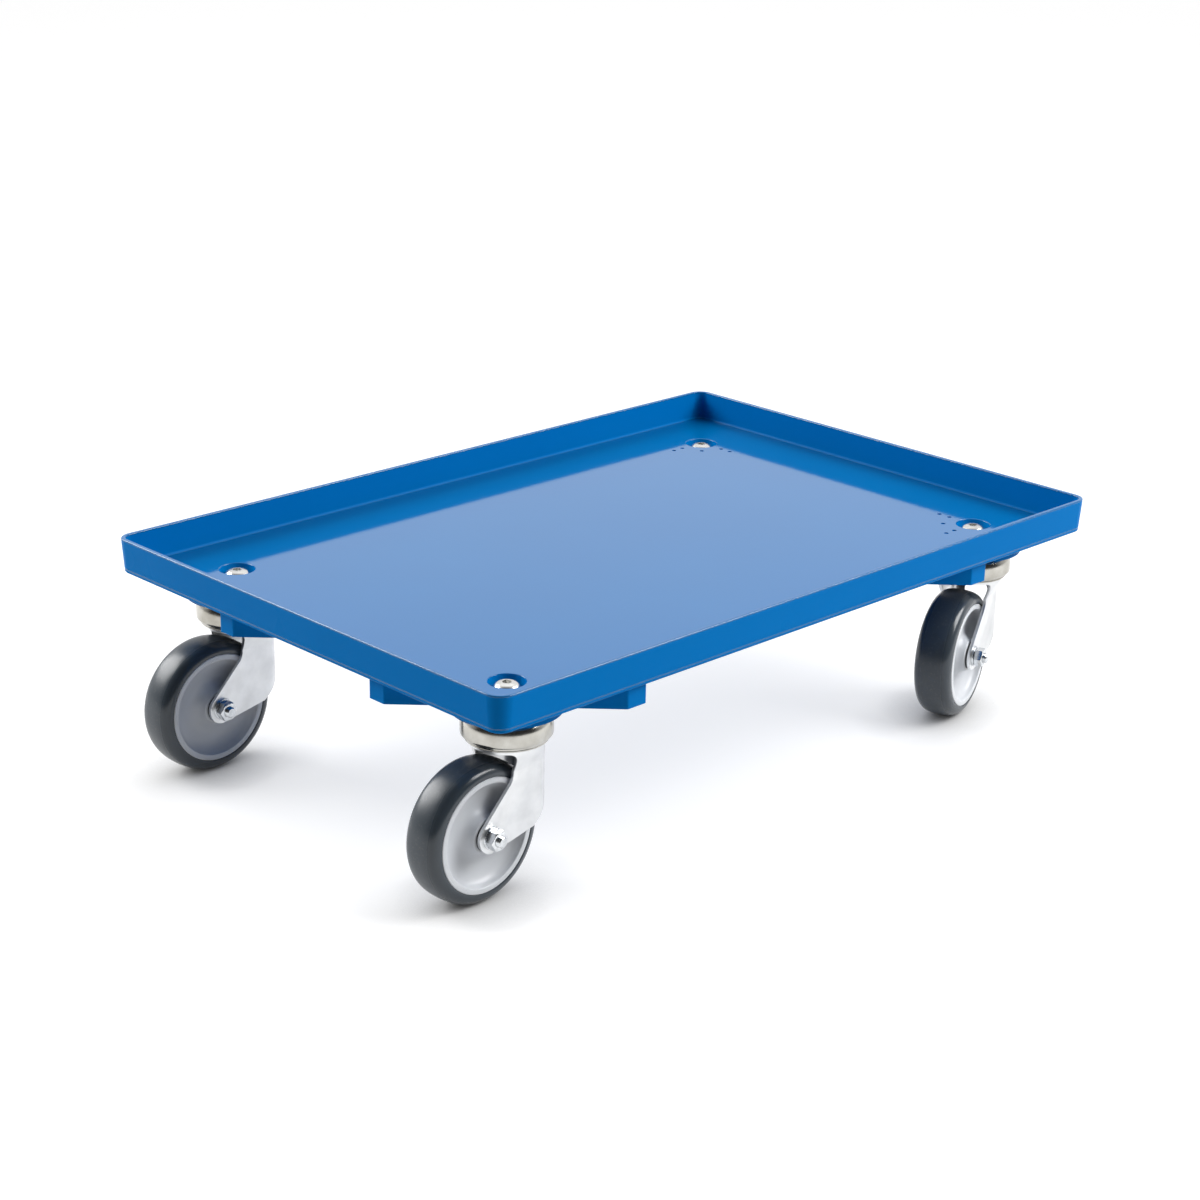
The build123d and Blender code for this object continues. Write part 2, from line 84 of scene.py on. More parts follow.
# ---------------------------------------------------------------------------------------------
# Shader writing
# ---------------------------------------------------------------------------------------------
class Graph:
    """The node tree of one material, with a single way to add a node."""

    def __init__(self, name: str) -> None:
        """Start an empty material with a Principled shader wired to its output.

        Args:
            name: The material's name.
        """
        self.material = bpy.data.materials.new(name)
        self.material.use_nodes = True
        self.tree = self.material.node_tree
        self.tree.nodes.clear()
        self.shader = self.node("ShaderNodeBsdfPrincipled")
        self.output = self.node("ShaderNodeOutputMaterial")
        self.tree.links.new(self.shader.outputs["BSDF"], self.output.inputs["Surface"])

    def node(
        self,
        kind: str,
        settings: dict[str, Any] | None = None,
        inputs: dict[Union[int, str], Any] | None = None,
    ) -> bpy.types.Node:
        """Add a node.

        Args:
            kind: The node's type.
            settings: Its own properties, set before its sockets.
            inputs: Socket name or number to a value, a socket or a Shade.

        Returns:
            The new node.
        """
        made = self.tree.nodes.new(kind)
        for key, value in (settings or {}).items():
            setattr(made, key, value)
        for key, value in (inputs or {}).items():
            self.plug(value, made.inputs[key])
        return made

    def plug(self, value: Any, socket: bpy.types.NodeSocket) -> None:
        """Link a socket or Shade to a socket, or set the socket's own value."""
        if isinstance(value, Shade):
            value = value.socket
        if isinstance(value, bpy.types.NodeSocket):
            self.tree.links.new(value, socket)
        else:
            socket.default_value = value

    def set(self, **values: Any) -> None:
        """Give the Principled shader's sockets their values, by name with _ for a space."""
        for name, value in values.items():
            label = name.replace("_", " ").title().replace("Ior", "IOR")
            self.plug(value, self.shader.inputs[label])

    def second_shader(self, share: Shade) -> None:
        """Start a second Principled shader, laid over the first one by a share.

        Args:
            share: The share of the second shader, from 0 to 1.
        """
        first = self.shader
        self.shader = self.node("ShaderNodeBsdfPrincipled")
        mixed = self.node("ShaderNodeMixShader", inputs={0: share})
        self.tree.links.new(first.outputs["BSDF"], mixed.inputs[1])
        self.tree.links.new(self.shader.outputs["BSDF"], mixed.inputs[2])
        self.tree.links.new(mixed.outputs["Shader"], self.output.inputs["Surface"])

    def place(self) -> bpy.types.NodeSocket:
        """The point on the piece, in metres in the trolley's frame."""
        return self.node("ShaderNodeTexCoord").outputs["Object"]

    def stretched(self, scale: Sequence[float], turn: float = 0.0) -> bpy.types.NodeSocket:
        """The point on the piece, scaled along each axis and turned about Z.

        Args:
            scale: The scale along X, Y and Z.
            turn: The turn in radians.

        Returns:
            The vector socket.
        """
        mapping = self.node(
            "ShaderNodeMapping",
            inputs={"Vector": self.place(), "Rotation": (0.0, 0.0, turn), "Scale": tuple(scale)},
        )
        return mapping.outputs["Vector"]

    def noise(
        self,
        scale: float,
        detail: float = 2.0,
        roughness: float = 0.5,
        vector: bpy.types.NodeSocket | None = None,
    ) -> Shade:
        """Cloudy noise from 0 to 1 over the piece."""
        made = self.node(
            "ShaderNodeTexNoise",
            inputs={
                "Vector": vector or self.place(),
                "Scale": scale,
                "Detail": detail,
                "Roughness": roughness,
            },
        )
        return Shade(self, made.outputs["Fac"])

    def axis(self, name: str) -> Shade:
        """One coordinate of the point on the piece: "X", "Y" or "Z"."""
        split = self.node("ShaderNodeSeparateXYZ", inputs={"Vector": self.place()})
        return Shade(self, split.outputs[name])

    def mark(self, name: str) -> Shade:
        """A number kept in the piece's own mesh under that attribute name."""
        made = self.node("ShaderNodeAttribute", {"attribute_name": name})
        return Shade(self, made.outputs["Fac"])

    def colours(self, factor: Number, first: Any, second: Any) -> bpy.types.NodeSocket:
        """Mix two colours.

        Args:
            factor: The share of the second colour.
            first: A colour or colour socket.
            second: A colour or colour socket.

        Returns:
            The colour socket.
        """
        made = self.node("ShaderNodeMix", {"data_type": "RGBA", "blend_type": "MIX"})
        sockets = {s.identifier: s for s in made.inputs}
        self.plug(factor, sockets["Factor_Float"])
        self.plug(opaque(first), sockets["A_Color"])
        self.plug(opaque(second), sockets["B_Color"])
        return next(s for s in made.outputs if s.identifier == "Result_Color")

    def bump(self, height: Shade, depth: float, strength: float = 1.0) -> None:
        """Raise the surface by a height pattern.

        Args:
            height: Pattern of about 0 to 1.
            depth: Height of the pattern's full range, in metres.
            strength: Share of the effect.
        """
        made = self.node(
            "ShaderNodeBump", inputs={"Strength": strength, "Distance": depth, "Height": height}
        )
        self.plug(made.outputs["Normal"], self.shader.inputs["Normal"])


class Shade:
    """A number socket that Python's operators work on."""

    def __init__(self, graph: Graph, socket: bpy.types.NodeSocket) -> None:
        """Wrap a socket of a graph."""
        self.graph = graph
        self.socket = socket

    def sum_of(self, operation: str, *values: Number, clamp: bool = False) -> Shade:
        """Add one Math node.

        Args:
            operation: The Math node's operation.
            values: Its inputs, in order.
            clamp: Whether the result is held between 0 and 1.

        Returns:
            The result.
        """
        made = self.graph.node(
            "ShaderNodeMath",
            {"operation": operation, "use_clamp": clamp},
            dict(enumerate(values)),
        )
        return Shade(self.graph, made.outputs[0])

    def __add__(self, other: Number) -> Shade:
        """Sum."""
        return self.sum_of("ADD", self, other)

    __radd__ = __add__

    def __mul__(self, other: Number) -> Shade:
        """Product."""
        return self.sum_of("MULTIPLY", self, other)

    __rmul__ = __mul__

    def __sub__(self, other: Number) -> Shade:
        """Difference."""
        return self.sum_of("SUBTRACT", self, other)

    def __rsub__(self, other: Number) -> Shade:
        """Difference from a plain number."""
        return self.sum_of("SUBTRACT", other, self)

    def __truediv__(self, other: Number) -> Shade:
        """Quotient."""
        return self.sum_of("DIVIDE", self, other)

    def __pow__(self, other: Number) -> Shade:
        """Power."""
        return self.sum_of("POWER", self, other)

    def __abs__(self) -> Shade:
        """Size without sign."""
        return self.sum_of("ABSOLUTE", self)

    def ramp(self, low: float, high: float) -> Shade:
        """0 below low, 1 above high and a straight rise between, or a fall if low is higher."""
        return self.sum_of("MULTIPLY", self - low, 1.0 / (high - low), clamp=True)

    def nearest(self, pitch: float) -> Shade:
        """Distance to the nearest multiple of a pitch."""
        return self.sum_of("PINGPONG", self, pitch / 2)


def opaque(colour: Any) -> Any:
    """A colour of three numbers with its alpha added; anything else as it is."""
    if isinstance(colour, tuple) and len(colour) == 3:
        return (*colour, 1.0)
    return colour


# ---------------------------------------------------------------------------------------------
# Finishes
# ---------------------------------------------------------------------------------------------
@dataclass(frozen=True)
class DeckPlastic:
    """Moulded polypropylene of the deck: satin walls and a glossy load floor with light scuffs; the load floor and
    the rim band are painted a darker blue than the walls, as painted shade.
    """

    base: Colour = (0.0, 0.170, 0.50)
    deep: Colour = (0.0, 0.152, 0.46)
    # Darker copy of the wall blue for the load floor and the rim band: painted shade.
    shaded_floor_base: Colour = (0.0, 0.125, 0.345)
    shaded_floor_deep: Colour = (0.0, 0.110, 0.315)
    scuffed: Colour = (0.04, 0.17, 0.46)
    wall_roughness: float = 0.24
    wall_gloss: float = 0.02
    floor_roughness: float = 0.045
    floor_gloss: float = 0.50
    floor_blend: Point = (0.0007, 0.0003)
    rim_blend: Point = (0.0014, 0.0010)
    rib_pitch: Point = (0.0556, 0.0593)
    sink_width: float = 0.005
    sink_share: float = 0.02

    def make(self) -> bpy.types.Material:
        """Build the material.

        Returns:
            The finished material.
        """
        graph = Graph("deck_plastic")
        clouds = graph.noise(7.0, detail=3.0)
        peel = graph.noise(420.0, detail=2.0)
        colour = graph.colours(clouds, self.base, self.deep)
        graph.set(
            base_color=colour,
            roughness=self.wall_roughness + clouds * 0.08,
            specular_ior_level=self.wall_gloss,
        )
        graph.bump(peel * 0.03 + graph.noise(30.0, 1.0) * 0.3, 0.0004, 0.5)
        floor_height = frame["record"]["mounts"][0]["pos_m"][2]
        rim_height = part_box("deck")[1].z
        on_floor = abs(graph.axis("Z") - floor_height).ramp(*self.floor_blend)
        on_rim = graph.axis("Z").ramp(*(rim_height - depth for depth in self.rim_blend))
        graph.second_shader((on_floor + on_rim).ramp(0.0, 1.0))
        scratches = graph.noise(9.0, 4.0, 0.7, graph.stretched((2.0, 60.0, 1.0), 0.5))
        cross_scratches = graph.noise(9.0, 4.0, 0.7, graph.stretched((55.0, 2.0, 1.0), 0.35))
        scuffs = scratches.ramp(0.64, 0.74) + cross_scratches.ramp(0.66, 0.76)
        worn = scuffs * clouds.ramp(0.4, 0.65)
        # Painted shade: the load floor and the rim band take a darker copy of the wall blue.
        shaded_floor_colour = graph.colours(clouds, self.shaded_floor_base, self.shaded_floor_deep)
        rib_x = graph.axis("X").nearest(self.rib_pitch[0])
        rib_y = (graph.axis("Y") + self.rib_pitch[1] / 2).nearest(self.rib_pitch[1])
        sinks = rib_x.ramp(self.sink_width, 0.0) + rib_y.ramp(self.sink_width, 0.0)
        waves = graph.noise(14.0, detail=1.0)
        graph.set(
            base_color=graph.colours(worn * 0.10, shaded_floor_colour, self.scuffed),
            roughness=self.floor_roughness + clouds * 0.04 + worn * 0.10,
            specular_ior_level=self.floor_gloss,
        )
        graph.bump(waves * 0.3 - sinks * on_floor * self.sink_share, 0.0004, 0.3)
        return graph.material


@dataclass(frozen=True)
class ZincPlate:
    """Zinc-plated steel: bright, a little cloudy, with the fine lines of drawn sheet."""

    name: str
    base: Colour = (0.78, 0.79, 0.80)
    cloudy: Colour = (0.66, 0.67, 0.68)
    roughness: float = 0.26
    cloud_scale: float = 60.0
    line_depth: float = 0.00002

    def make(self) -> bpy.types.Material:
        """Build the material.

        Returns:
            The finished material.
        """
        graph = Graph(self.name)
        clouds = graph.noise(self.cloud_scale, detail=3.0)
        lines = graph.noise(40.0, 3.0, 0.6, graph.stretched((6.0, 6.0, 60.0)))
        grains = graph.noise(1400.0, detail=1.0)
        graph.set(
            base_color=graph.colours(clouds.ramp(0.35, 0.7), self.base, self.cloudy),
            metallic=1.0,
            roughness=self.roughness + clouds * 0.10 + lines * 0.06,
        )
        graph.bump(grains * 0.4 + lines * 0.6, self.line_depth, 0.6)
        return graph.material


@dataclass(frozen=True)
class BallSteel:
    """Polished bearing balls with a film of grease."""

    base: Colour = (0.70, 0.69, 0.66)
    greased: Colour = (0.42, 0.36, 0.24)

    def make(self) -> bpy.types.Material:
        """Build the material."""
        graph = Graph("ball_steel")
        film = graph.noise(260.0, detail=2.0).ramp(0.42, 0.62)
        graph.set(
            base_color=graph.colours(film * 0.5, self.base, self.greased),
            metallic=1.0,
            roughness=0.08 + film * 0.25,
        )
        return graph.material


@dataclass(frozen=True)
class RimPlastic:
    """Light grey satin plastic of the wheel centres, smoother on the face ring, with painted shade darkening the
    dish inside it.
    """

    base: Colour = (0.72, 0.74, 0.77)
    # Darker grey, used both for random mottling and for the painted shade in the dish.
    mottle_and_dish_shade: Colour = (0.48, 0.50, 0.53)
    roughness: float = 0.30

    def make(self) -> bpy.types.Material:
        """Build the material."""
        graph = Graph("rim_plastic")
        clouds = graph.noise(45.0, detail=3.0)
        grain = graph.noise(900.0, detail=2.0)
        ring = graph.mark("outward").ramp(0.0350, 0.0366)
        colour = graph.colours(clouds * 0.5, self.base, self.mottle_and_dish_shade)
        # Painted shade: the dish inside the face ring is darkened towards the darker grey.
        colour = graph.colours((1.0 - ring) * 0.35, colour, self.mottle_and_dish_shade)
        graph.set(base_color=colour, roughness=self.roughness + grain * 0.10 - ring * 0.06)
        graph.bump(grain, 0.00003, 0.5)
        return graph.material


@dataclass(frozen=True)
class TyreRubber:
    """Smooth soft tyre: satin flanks, a duller running band with a trace of floor dust."""

    base: Colour = (0.036, 0.048, 0.060)
    lighter: Colour = (0.050, 0.063, 0.078)
    dust: Colour = (0.11, 0.115, 0.12)
    roughness: float = 0.17
    running_radius: Point = (0.0485, 0.0498)

    def make(self) -> bpy.types.Material:
        """Build the material."""
        graph = Graph("tyre_rubber")
        clouds = graph.noise(38.0, detail=4.0, roughness=0.6)
        grain = graph.noise(1100.0, detail=2.0)
        running = graph.mark("outward").ramp(*self.running_radius)
        specks = graph.noise(520.0, detail=3.0).ramp(0.55, 0.72)
        colour = graph.colours(clouds, self.base, self.lighter)
        colour = graph.colours(running * specks * 0.35, colour, self.dust)
        graph.set(
            base_color=colour,
            roughness=self.roughness + clouds * 0.08 + running * 0.12,
            specular_ior_level=0.5,
        )
        graph.bump(grain * 0.5 + clouds * 0.5, 0.00006, 0.5)
        return graph.material


@dataclass(frozen=True)
class BushNylon:
    """Dark nylon of the wheel bushes."""

    base: Colour = (0.035, 0.037, 0.040)
    worn: Colour = (0.075, 0.075, 0.078)

    def make(self) -> bpy.types.Material:
        """Build the material."""
        graph = Graph("bush_plastic")
        clouds = graph.noise(220.0, detail=3.0)
        graph.set(
            base_color=graph.colours(clouds, self.base, self.worn), roughness=0.38 + clouds * 0.12
        )
        graph.bump(clouds, 0.00003, 0.5)
        return graph.material


@dataclass(frozen=True)
class LightTable:
    """Pale studio floor, lit softly from within as a light table is, with a painted contact shadow that dims its
    glow close to a foot.

    Matt surfaces get only a share of its glow, so that the object keeps its own shading.
    """

    base: Colour = (0.40, 0.40, 0.40)
    clouded: Colour = (0.36, 0.36, 0.36)
    glow: Colour = (0.72, 0.72, 0.72)
    # Reach of the painted contact shadow.
    reach: float = 0.055
    bounce: float = 0.40

    def make(self) -> bpy.types.Material:
        """Build the material."""
        graph = Graph("studio_floor")
        clouds = graph.noise(1.5, detail=2.0)
        # Painted contact shadow: ambient occlusion darkens the glow close to the wheels.
        shadow_probe = graph.node(
            "ShaderNodeAmbientOcclusion", {"samples": 8}, {"Distance": self.reach}
        )
        clear_of_painted_shadow = Shade(graph, shadow_probe.outputs["AO"])
        path = graph.node("ShaderNodeLightPath")
        lit = 1.0 - Shade(graph, path.outputs["Is Diffuse Ray"]) * (1.0 - self.bounce)
        graph.set(
            base_color=graph.colours(clouds * 0.03, self.base, self.clouded),
            roughness=0.7,
            specular_ior_level=0.2,
            emission_color=graph.colours(clear_of_painted_shadow ** 1.5 * lit, (0.0, 0.0, 0.0), self.glow),
            emission_strength=1.0,
        )
        return graph.material


# ---------------------------------------------------------------------------------------------
# Modelling by hand
# ---------------------------------------------------------------------------------------------
class Bench:
    """Where new pieces are modelled: edit-mode work through Blender's own operators."""

    @staticmethod
    def clear() -> None:
        """Leave edit mode and deselect everything."""
        if bpy.context.object and bpy.context.object.mode != "OBJECT":
            bpy.ops.object.mode_set(mode="OBJECT")
        bpy.ops.object.select_all(action="DESELECT")

    @staticmethod
    def take(piece: bpy.types.Object) -> None:
        """Make a piece the only one selected, and active."""
        Bench.clear()
        piece.select_set(True)
        bpy.context.view_layer.objects.active = piece

    @staticmethod
    def turned(name: str, outline: Sequence[Point], middle: Vector, steps: int) -> bpy.types.Object:
        """Turn a closed outline about a level axis along Y, as on a lathe.

        Args:
            name: The piece's name.
            outline: Closed outline as (distance from the axis, place along it).
            middle: A point on the axis.
            steps: Facets in the full turn.

        Returns:
            The piece, its normals outwards.
        """
        points = [middle + Vector((out, along, 0.0)) for out, along in outline]
        return Bench.spun(name, points, middle, Vector((0.0, 1.0, 0.0)), steps)

    @staticmethod
    def spun(
        name: str, points: Sequence[Vector], middle: Vector, axis: Vector, steps: int
    ) -> bpy.types.Object:
        """Extrude one vertex along a closed outline and spin it a full turn.

        Args:
            name: The piece's name.
            points: The outline's points, in order.
            middle: A point on the axis.
            axis: The axis's direction.
            steps: Facets in the full turn.

        Returns:
            The piece, its normals outwards.
        """
        Bench.clear()
        bpy.ops.mesh.primitive_plane_add(size=MM)
        piece = bpy.context.object
        piece.name = name
        bpy.ops.object.mode_set(mode="EDIT")
        bpy.ops.mesh.select_all(action="SELECT")
        bpy.ops.mesh.merge(type="CENTER")
        bpy.ops.transform.translate(value=points[0])
        for start, end in zip(points, points[1:]):
            bpy.ops.mesh.extrude_region_move(TRANSFORM_OT_translate={"value": end - start})
        bpy.ops.object.mode_set(mode="OBJECT")
        ends = (0, len(piece.data.vertices) - 1)
        for vertex in piece.data.vertices:
            vertex.select = vertex.index in ends
        bpy.ops.object.mode_set(mode="EDIT")
        bpy.ops.mesh.edge_face_add()
        bpy.ops.mesh.select_all(action="SELECT")
        bpy.ops.mesh.spin(steps=steps, angle=FULL_TURN, center=middle, axis=axis)
        bpy.ops.mesh.select_all(action="SELECT")
        bpy.ops.mesh.remove_doubles(threshold=0.000002)
        bpy.ops.mesh.normals_make_consistent(inside=False)
        bpy.ops.object.mode_set(mode="OBJECT")
        return piece

    @staticmethod
    def smooth(piece: bpy.types.Object, angle: float = 32.0) -> None:
        """Shade smooth across edges flatter than an angle in degrees."""
        Bench.take(piece)
        bpy.ops.object.shade_smooth_by_angle(angle=math.radians(angle))
        Bench.clear()

    @staticmethod
    def rounded_copy(node: str, name: str, width: float, segments: int) -> bpy.types.Object:
        """Copy a node and round its sharp edges, as on pressed or machined metal.

        Args:
            node: The node to copy.
            name: The new piece's name.
            width: The rounding's width in metres.
            segments: Facets across the rounding.

        Returns:
            The piece.
        """
        Bench.clear()
        source = frame["nodes"][node]
        piece = source.copy()
        piece.data = source.data.copy()
        piece.name = name
        piece.parent = None
        for key in list(piece.keys()):
            del piece[key]
        bpy.context.scene.collection.objects.link(piece)
        Bench.take(piece)
        bpy.ops.object.mode_set(mode="EDIT")
        bpy.ops.mesh.select_all(action="SELECT")
        bpy.ops.mesh.remove_doubles(threshold=0.000005)
        bpy.ops.mesh.dissolve_limited(angle_limit=math.radians(0.6))
        bpy.ops.object.mode_set(mode="OBJECT")
        bevel = piece.modifiers.new("rounding", "BEVEL")
        bevel.width = width
        bevel.segments = segments
        bevel.limit_method = "ANGLE"
        bevel.angle_limit = math.radians(40.0)
        bevel.use_clamp_overlap = True
        bpy.ops.object.modifier_apply(modifier=bevel.name)
        Bench.smooth(piece)
        return piece

    @staticmethod
    def copy_to(piece: bpy.types.Object, name: str, place: Matrix) -> bpy.types.Object:
        """Copy a piece with its own mesh, moved by a matrix that is put into the mesh."""
        made = piece.copy()
        made.data = piece.data.copy()
        made.name = name
        bpy.context.scene.collection.objects.link(made)
        made.data.transform(place)
        return made

    @staticmethod
    def remember(
        piece: bpy.types.Object, name: str, measure: Callable[[Vector], float]
    ) -> None:
        """Keep a number for each vertex in the mesh, for its material to read."""
        kept = piece.data.attributes.new(name, "FLOAT", "POINT")
        for vertex in piece.data.vertices:
            kept.data[vertex.index].value = measure(vertex.co)


def arc(centre: Point, radius: float, start: float, end: float, steps: int) -> list[Point]:
    """Points on an arc.

    Args:
        centre: The arc's centre.
        radius: Its radius.
        start: The first angle, in degrees.
        end: The last angle, in degrees.
        steps: Straight pieces in the arc.

    Returns:
        steps + 1 points.
    """
    angles = [math.radians(start + (end - start) * i / steps) for i in range(steps + 1)]
    return [(centre[0] + radius * math.cos(a), centre[1] + radius * math.sin(a)) for a in angles]


def eased(first: Point, last: Point, bend: Point, steps: int) -> list[Point]:
    """Points on a smooth curve from one point to another, pulled towards a third.

    Args:
        first: The first point.
        last: The last point.
        bend: The point that the curve is pulled towards.
        steps: Straight pieces in the curve.

    Returns:
        steps + 1 points.
    """
    made = []
    for i in range(steps + 1):
        t = i / steps
        weights = ((1 - t) ** 2, 2 * t * (1 - t), t * t)
        made.append(
            tuple(sum(w * p[k] for w, p in zip(weights, (first, bend, last))) for k in (0, 1))
        )
    return made


def both_sides(half: Sequence[Point]) -> list[Point]:
    """Complete an outline from its half on the positive side, in order round the outline."""
    return list(half) + [(out, -along) for out, along in reversed(half)]


# ---------------------------------------------------------------------------------------------
# Sub-assemblies
# ---------------------------------------------------------------------------------------------
@dataclass
class Finishes:
    """Every material of the trolley, by the record's slot."""

    by_slot: dict[str, bpy.types.Material] = field(default_factory=dict)

    def make(self) -> Finishes:
        """Build all the materials.

        Returns:
            This object.
        """
        self.by_slot = {
            "deck_plastic": DeckPlastic().make(),
            "screw_steel": ZincPlate(
                "screw_steel", (0.72, 0.72, 0.70), (0.55, 0.54, 0.52), 0.16
            ).make(),
            "cup_zinc": ZincPlate(
                "cup_zinc", (0.52, 0.51, 0.475), (0.36, 0.345, 0.305), 0.10
            ).make(),
            "ball_steel": BallSteel().make(),
            "fork_zinc": ZincPlate("fork_zinc").make(),
            "axle_zinc": ZincPlate(
                "axle_zinc", (0.75, 0.77, 0.79), (0.58, 0.60, 0.62), 0.14, 180.0
            ).make(),
            "rim_plastic": RimPlastic().make(),
            "bush_plastic": BushNylon().make(),
            "tyre_rubber": TyreRubber().make(),
        }
        return self

    def dress(self, piece: bpy.types.Object, slot: str) -> None:
        """Give a piece the material of a slot, and nothing else."""
        piece.data.materials.clear()
        piece.data.materials.append(self.by_slot[slot])

    def dress_nodes(self) -> None:
        """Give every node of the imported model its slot's material."""
        for entry in frame["record"]["subparts"]:
            node = frame["nodes"][entry["node"]]
            self.dress(node, entry["material_slot"])


@dataclass
class CasterFrame:
    """Where one caster stands: its own frame has X along the fork and Y along the axle."""

    corner: Corner
    swivel: Vector = field(init=False)
    axle: Vector = field(init=False)
    axle_line: Vector = field(init=False)

    def __post_init__(self) -> None:
        """Read the caster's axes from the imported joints."""
        joints = {joint["name"]: joint for joint in frame["joints"]}
        self.swivel = Vector(joints[f"swivel_{self.corner.value}"]["pos_m"])
        self.swivel.z = 0.0
        roll = joints[f"roll_{self.corner.value}"]
        self.axle = Vector(roll["pos_m"])
        self.axle_line = Vector(roll["axis"])

    @property
    def trail(self) -> float:
        """Distance from the swivel axis to the wheel's axle."""
        return (self.axle - self.swivel).to_2d().length

    @property
    def place(self) -> Matrix:
        """From the caster's own frame to the trolley's."""
        along = self.axle_line.cross(Vector((0.0, 0.0, 1.0)))
        turn = math.atan2(along.y, along.x)
        return Matrix.Translation(self.swivel) @ Matrix.Rotation(turn, 4, "Z")

    def reach(self, node: str) -> tuple[Vector, Vector]:
        """Lowest and highest corner of a node in the caster's own frame."""
        back = self.place.inverted()
        points = [back @ v.co for v in frame["nodes"][f"{node}_{self.corner.value}"].data.vertices]
        low = Vector([min(p[k] for p in points) for k in range(3)])
        high = Vector([max(p[k] for p in points) for k in range(3)])
        return low, high


@dataclass
class Tyre:
    """Soft tyre with round shoulders, a slightly crowned tread and a shallow groove by the rim."""

    shoulder: float = 8.0 * MM
    groove: float = 0.5 * MM
    groove_width: float = 1.1 * MM
    groove_lip: float = 0.05 * MM
    crown: float = 0.6 * MM
    tread_start: float = 14.0
    shoulder_steps: int = 14
    tread_steps: int = 8
    crease: float = 40.0
    steps: int = 144

    def build(self, stand: CasterFrame) -> bpy.types.Object:
        """Turn the tyre in the caster's own frame.

        Args:
            stand: The caster to take the sizes from.

        Returns:
            The tyre.
        """
        low, high = stand.reach("tyre")
        radius = (high.z - low.z) / 2
        half = high.y
        seat = stand.reach("wheel_rim")[1].z - stand.axle.z
        middle = Vector((stand.trail, 0.0, stand.axle.z))
        flank = radius - self.shoulder
        outline = [
            (seat, half - self.groove),
            (seat + self.groove_width * 0.5, half - self.groove),
            (seat + self.groove_width, half - self.groove_lip),
        ]
        shoulder_middle = (flank - self.crown, half - self.shoulder)
        outline += arc(
            shoulder_middle, self.shoulder, 90.0, self.tread_start, self.shoulder_steps
        )
        shoulder_end = outline[-1]
        lean = math.tan(math.radians(self.tread_start))
        bend = (radius, shoulder_end[1] - (radius - shoulder_end[0]) / lean)
        outline += eased(shoulder_end, (radius, 0.0), bend, self.tread_steps)[1:]
        mirrored = [(out, -along) for out, along in reversed(outline[:-1])]
        tyre = Bench.turned("tyre_form", outline + mirrored, middle, self.steps)
        Bench.remember(tyre, "outward", lambda p: math.hypot(p.x - middle.x, p.z - middle.z))
        Bench.smooth(tyre, self.crease)
        return tyre


@dataclass
class WheelCentre:
    """Moulded wheel centre: a flat face ring, a deep dish and a coned hub."""

    ring: float = 4.2 * MM
    ring_round: float = 0.7 * MM
    dish: float = 6.0 * MM
    bowl_foot: float = 22.0 * MM
    bowl_flat: float = 1.0 * MM
    bowl_pull: Point = (0.6 * MM, 1.0 * MM)
    lip_drop: float = 1.2 * MM
    hub: float = 12.6 * MM
    hub_round: float = 1.2 * MM
    hub_drop: float = 0.1 * MM
    hub_waist: Point = (14.5 * MM, 0.6 * MM)
    hub_edge_end: float = 20.0
    bush_room: float = 2.4 * MM
    crease: float = 30.0
    steps: int = 120

    def build(self, stand: CasterFrame) -> bpy.types.Object:
        """Turn the wheel centre in the caster's own frame.

        Args:
            stand: The caster to take the sizes from.

        Returns:
            The wheel centre.
        """
        low, high = stand.reach("wheel_rim")
        outer = (high.z - low.z) / 2
        half = high.y
        bore = stand.reach("axle_sleeve")[1].z - stand.axle.z + self.bush_room
        hub_face = half - self.hub_drop
        middle = Vector((stand.trail, 0.0, stand.axle.z))
        inner = outer - self.ring
        hub_edge = (self.hub - self.hub_round, hub_face - self.hub_round)
        hub_waist = (self.hub_waist[0], self.dish + self.hub_waist[1])
        bowl_start = (self.bowl_foot + self.bowl_flat, self.dish)
        bowl_end = (inner, half - self.lip_drop)
        bowl_pull = (inner - self.bowl_pull[0], self.dish + self.bowl_pull[1])
        ring_height = half - self.ring_round
        outline = [(bore, hub_face)]
        outline += arc(hub_edge, self.hub_round, 90.0, self.hub_edge_end, 5)
        outline += eased(outline[-1], (self.bowl_foot, self.dish), hub_waist, 12)
        outline += eased(bowl_start, bowl_end, bowl_pull, 16)
        outline += arc((inner + self.ring_round, ring_height), self.ring_round, 180.0, 90.0, 4)
        outline += arc((outer - self.ring_round, ring_height), self.ring_round, 90.0, 0.0, 4)
        centre = Bench.turned("centre_form", both_sides(outline), middle, self.steps)
        Bench.remember(centre, "outward", lambda p: math.hypot(p.x - middle.x, p.z - middle.z))
        Bench.smooth(centre, self.crease)
        return centre


